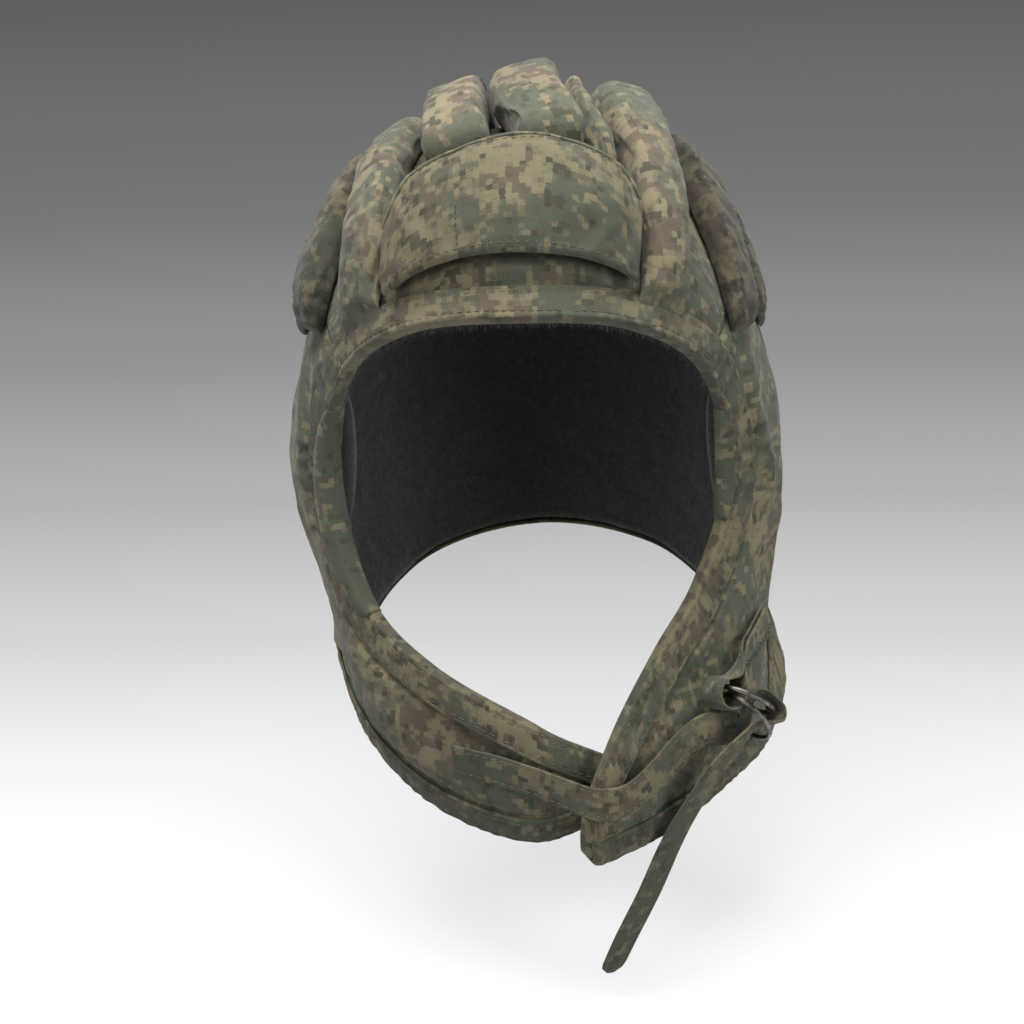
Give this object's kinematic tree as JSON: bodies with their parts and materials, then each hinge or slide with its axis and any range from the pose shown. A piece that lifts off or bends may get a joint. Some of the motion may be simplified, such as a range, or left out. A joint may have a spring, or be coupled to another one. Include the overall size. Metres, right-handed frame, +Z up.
{
  "type": "soft paratrooper helmet",
  "caption": "Soft padded helmet hood of camouflage cloth with stuffed crown ribs, a forehead pad, wrapped cheek flaps and a chin strap held by double wire rings.",
  "frame": {"origin": "inside of the crown at its highest place, where the helmet rests on a head", "axes": "+Z up, -Y the way the wearer looks, +X to the wearer's left"},
  "size_m": [0.2039, 0.2104, 0.3622],
  "materials": {
    "camouflage_cloth": "matte woven cotton with a printed pattern",
    "binding_cloth": "matte woven cotton with a printed pattern",
    "strap_cloth": "matte woven cotton, folded and stitched",
    "fleece": "short dark grey pile",
    "ring_steel": "dark smooth wire"
  },
  "bodies": {
    "root": {"crown_shell": "camouflage_cloth", "side_panel_right": "camouflage_cloth", "side_panel_left": "camouflage_cloth", "forehead_pad": "camouflage_cloth", "crown_rib_1": "camouflage_cloth", "crown_rib_2": "camouflage_cloth", "crown_rib_3": "camouflage_cloth", "crown_rib_4": "camouflage_cloth", "crown_rib_5": "camouflage_cloth", "side_roll_left": "camouflage_cloth", "rear_roll_left": "camouflage_cloth", "side_roll_right": "camouflage_cloth", "rear_roll_right": "camouflage_cloth", "face_band": "binding_cloth", "neck_band": "binding_cloth", "chin_strap": "strap_cloth", "ring_tab": "strap_cloth", "lining": "fleece", "ear_pad_left": "fleece", "ear_pad_right": "fleece", "buckle_ring_1": "ring_steel", "buckle_ring_2": "ring_steel"}
  },
  "joints": []
}
